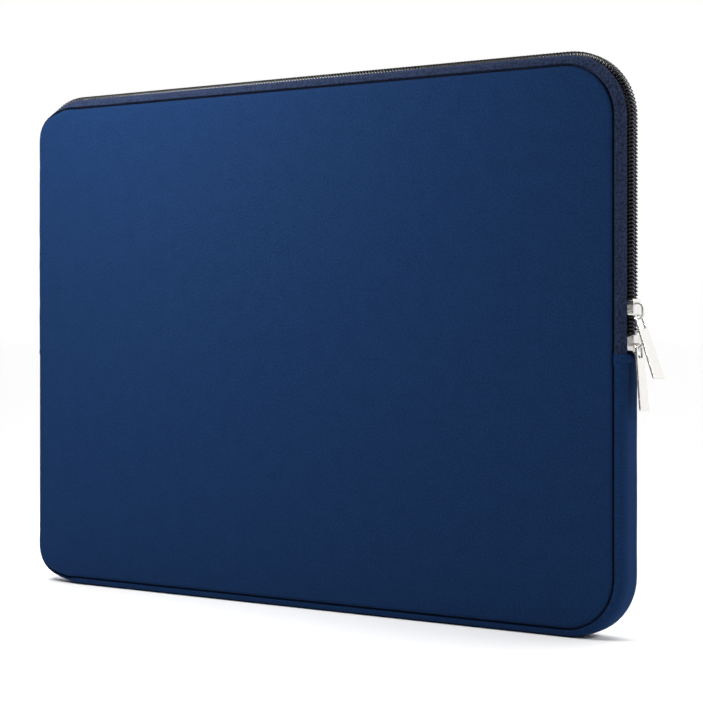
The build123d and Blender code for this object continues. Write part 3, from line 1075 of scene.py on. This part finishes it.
class SLEEVE_OT_linings(bpy.types.Operator):
    """Makes the brushed linings of both panels and of the gusset, and the bound seam allowances"""

    bl_idname = "sleeve.linings"
    bl_label = "Linings and bindings"

    def execute(self, context):
        cloth = finish_of(fleece)
        tape = finish_of(tape_weave)
        outer_y = LINING_Y + 0.55 * MM
        for side, word in ((-1, "front"), (1, "back")):
            def inner(x, z, distance):
                hollow = 0.18 * MM * (1 - exp(-distance / (12 * MM)))
                pile = 0.28 * MM - hollow + 0.07 * MM * wobble(x, side, z, 30 * MM, 51.0)
                return 0.0, side * (LINING_Y + pile)

            mesh = slab(word + "_lining", lambda x, z, d: (0.0, side * outer_y), inner,
                        sizes().mesh_step * 1.4)
            piece = new_piece(word + "_lining", mesh, cloth, CLOTH_CREASE)
            if side < 0:
                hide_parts("front_lining_lower", "front_lining_flap")
            else:
                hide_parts("back_lining")
            carry(piece, side)
            self.binding(side, word, tape)
        stations = lower_stations(ZIP_END - GUSSET_GAP, sizes().mesh_step)
        mesh = sweep("gusset_lining_cloth", stations, self.gusset_section)
        piece = new_piece("gusset_lining_cloth", mesh, cloth, CLOTH_CREASE)
        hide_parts("gusset_lining")
        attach(piece, "root")
        return {"FINISHED"}

    @staticmethod
    def gusset_section(station):
        """Section of the gusset's lining: its outer face, then the pile inside."""
        turns = 16
        lift = 0.12 * MM * station.uneven(12 * MM, 61.0)
        ring = []
        for i in range(turns + 1):
            n, y = rim_point(station, i / turns, LINING_OUTSIDE, LINING_Y - 0.1 * MM)
            ring.append((settled(station, n - 0.45 * MM, 1.55 * MM), y))
        for i in range(turns + 1):
            n, y = rim_point(station, 1 - i / turns, LINING_INSIDE, LINING_Y - 0.7 * MM)
            ring.append((settled(station, n - 0.45 * MM + lift, 2.15 * MM), y))
        return ring

    @staticmethod
    def binding(side, word, tape):
        """The seam allowances of panel and rim, wrapped in a narrow tape."""
        half_wide = (_binding_high[1] - _binding_low[1]) / 2
        half_deep = 1.1 * MM
        middle_y = (_binding_high[1] + _binding_low[1]) / 2
        middle_n = -1.4 * MM
        turns = 12

        def section(station):
            lean = 0.25 * MM * station.uneven(14 * MM, 71.0, side)
            ring = []
            for i in range(turns):
                a = 2 * pi * i / turns
                n = middle_n + lean + half_deep * squared(cos(a))
                ring.append((n, side * (middle_y + half_wide * squared(sin(a)))))
            return ring

        stations = closed_stations(sizes().mesh_step)
        mesh = sweep(word + "_binding", stations, section, closed=True)
        piece = new_piece(word + "_binding", mesh, tape, CLOTH_CREASE)
        if side < 0:
            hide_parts("front_seam_binding_lower", "front_seam_binding_flap")
        else:
            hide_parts("back_seam_binding")
        carry(piece, side)


class SLEEVE_OT_metalwork(bpy.types.Operator):
    """Gives the sliders, their crowns and the pull tabs their nickel plate"""

    bl_idname = "sleeve.metalwork"
    bl_label = "Sliders and pulls"

    def execute(self, context):
        plate = finish_of(nickel)
        for name, node in frame["nodes"].items():
            if "slider" in name or "pull_tab" in name:
                for place in node.material_slots:
                    place.material = plate
        return {"FINISHED"}


# ---- the studio ----------------------------------------------------------------------------------
# a soft lamp close to the upper left of the front, and a small one for glints: the place of each,
# the point it faces, its side in metres and its power in watts
LAMPS = {
    "key": ((-0.13, -0.24, 0.40), (-0.13, 0.0, 0.25), 0.20, 2.1),
    "spark": ((0.72, -0.14, 0.46), (0.18, 0.0, 0.16), 0.10, 1.6),
}
SUN_STRENGTH = 1.42
SUN_WIDTH = radians(50)
SUN_TILT = radians(-8)
SKY = {"From Min": -0.1, "From Max": 0.45, "To Min": 0.04, "To Max": 1.35}
CAMERA_PLACE = (0.4850, -0.7044, MIDDLE_Z + 0.01065)
CAMERA_TURN = 0.577
CAMERA_LENS = 88.9
CAMERA_SHIFT = -0.0407
CAMERA_REACH = 20
FLOOR_REACHES = (0.5, 1.5, 4.0, 12.0)


class SLEEVE_OT_studio(bpy.types.Operator):
    """Sets the pale floor and backdrop, the soft lights and the camera"""

    bl_idname = "sleeve.studio"
    bl_label = "Studio"

    def execute(self, context):
        scene = context.scene
        scene.view_settings.view_transform = "Standard"
        self.floor()
        for name, (place, aim, size, power) in LAMPS.items():
            self.lamp(name, place, aim, size, power)
        self.overhead()
        scene.world = self.surroundings()
        eye = bpy.data.cameras.new("camera")
        eye.lens = CAMERA_LENS
        eye.shift_y = CAMERA_SHIFT
        eye.clip_end = CAMERA_REACH
        camera = bpy.data.objects.new("camera", eye)
        camera.location = CAMERA_PLACE
        camera.rotation_euler = (pi / 2, 0, CAMERA_TURN)
        scene.collection.objects.link(camera)
        scene.camera = camera
        return {"FINISHED"}

    @staticmethod
    def floor():
        """A wide round floor that runs out of sight."""
        sides = 48
        points = [(0, 0, 0)]
        for reach in FLOOR_REACHES:
            for k in range(sides):
                a = 2 * pi * k / sides
                points.append((reach * cos(a), reach * sin(a), 0))
        faces = [(0, 1 + k, 1 + (k + 1) % sides) for k in range(sides)]
        for i in range(len(FLOOR_REACHES) - 1):
            base = 1 + i * sides
            for k in range(sides):
                m = (k + 1) % sides
                faces.append((base + k, base + sides + k, base + sides + m, base + m))
        mesh = bpy.data.meshes.new("floor")
        mesh.from_pydata(points, [], faces)
        f = Finish("floor")
        base = tuple(colours().floor)
        tone = f.blend(f.cloud(f.place(), 1.5 * MM), times(base, 0.99), times(base, 1.01))
        paper = f.set(Base_Color=tone, Roughness=0.9, Specular_IOR_Level=0.2)
        floor = new_piece("floor", mesh, paper)

    @staticmethod
    def lamp(name, place, aim, size, power):
        """A square lamp at place that faces aim."""
        data = bpy.data.lights.new(name, "AREA")
        data.shape = "SQUARE"
        data.size = size
        data.energy = power
        lamp = bpy.data.objects.new(name, data)
        lamp.location = place
        lamp.rotation_euler = (Vector(aim) - Vector(place)).to_track_quat("-Z", "Y").to_euler()
        bpy.context.scene.collection.objects.link(lamp)

    @staticmethod
    def overhead():
        """Wide light from straight above and a little behind, so that the shadow lies in front."""
        data = bpy.data.lights.new("overhead", "SUN")
        data.energy = SUN_STRENGTH
        data.angle = SUN_WIDTH
        lamp = bpy.data.objects.new("overhead", data)
        lamp.rotation_euler = (SUN_TILT, 0, 0)
        bpy.context.scene.collection.objects.link(lamp)

    @staticmethod
    def surroundings():
        """White behind the sleeve and dim in front, as in a tent that is open towards the front."""
        world = bpy.data.worlds.new("studio")
        world.use_nodes = True
        tree = world.node_tree
        kinds = ["ShaderNodeTexCoord", "ShaderNodeSeparateXYZ", "ShaderNodeMapRange",
                 "ShaderNodeLightPath", "ShaderNodeMix"]
        direction, parts, level, path, choice = [tree.nodes.new(kind) for kind in kinds]
        level.interpolation_type = "SMOOTHSTEP"
        for name, value in SKY.items():
            level.inputs[name].default_value = value
        tree.links.new(direction.outputs["Generated"], parts.inputs[0])
        tree.links.new(parts.outputs["Y"], level.inputs["Value"])
        tree.links.new(path.outputs["Is Camera Ray"], choice.inputs[0])
        tree.links.new(level.outputs["Result"], choice.inputs[2])
        choice.inputs[3].default_value = 1.0
        sky = tree.nodes["Background"]
        sky.inputs["Color"].default_value = (1, 1, 1, 1)
        tree.links.new(choice.outputs[0], sky.inputs["Strength"])
        return world


STEPS = ("panels", "gusset", "zip_bands", "zip_tapes", "zip_coils", "end_tabs", "linings",
         "metalwork", "studio")


class SLEEVE_PT_steps(bpy.types.Panel):
    """Lists the steps and the sizes and colours"""

    bl_label = "Laptop Sleeve"
    bl_idname = "SLEEVE_PT_steps"
    bl_space_type = "VIEW_3D"
    bl_region_type = "UI"
    bl_category = "Sleeve"

    def draw(self, context):
        for group in (context.scene.sleeve_sizes, context.scene.sleeve_colours):
            for name in group.__annotations__:
                self.layout.prop(group, name)
        for step in STEPS:
            self.layout.operator("sleeve." + step)


CLASSES = (SleeveSizes, SleeveColours, SLEEVE_OT_panels, SLEEVE_OT_gusset, SLEEVE_OT_zip_bands,
           SLEEVE_OT_zip_tapes, SLEEVE_OT_zip_coils, SLEEVE_OT_end_tabs, SLEEVE_OT_linings,
           SLEEVE_OT_metalwork, SLEEVE_OT_studio, SLEEVE_PT_steps)


def register():
    for item in CLASSES:
        bpy.utils.register_class(item)
    bpy.types.Scene.sleeve_sizes = bpy.props.PointerProperty(type=SleeveSizes)
    bpy.types.Scene.sleeve_colours = bpy.props.PointerProperty(type=SleeveColours)


def unregister():
    del bpy.types.Scene.sleeve_colours
    del bpy.types.Scene.sleeve_sizes
    for item in reversed(CLASSES):
        bpy.utils.unregister_class(item)


def main():
    register()
    for step in STEPS:
        getattr(bpy.ops.sleeve, step)()


if __name__ == "__main__":
    main()
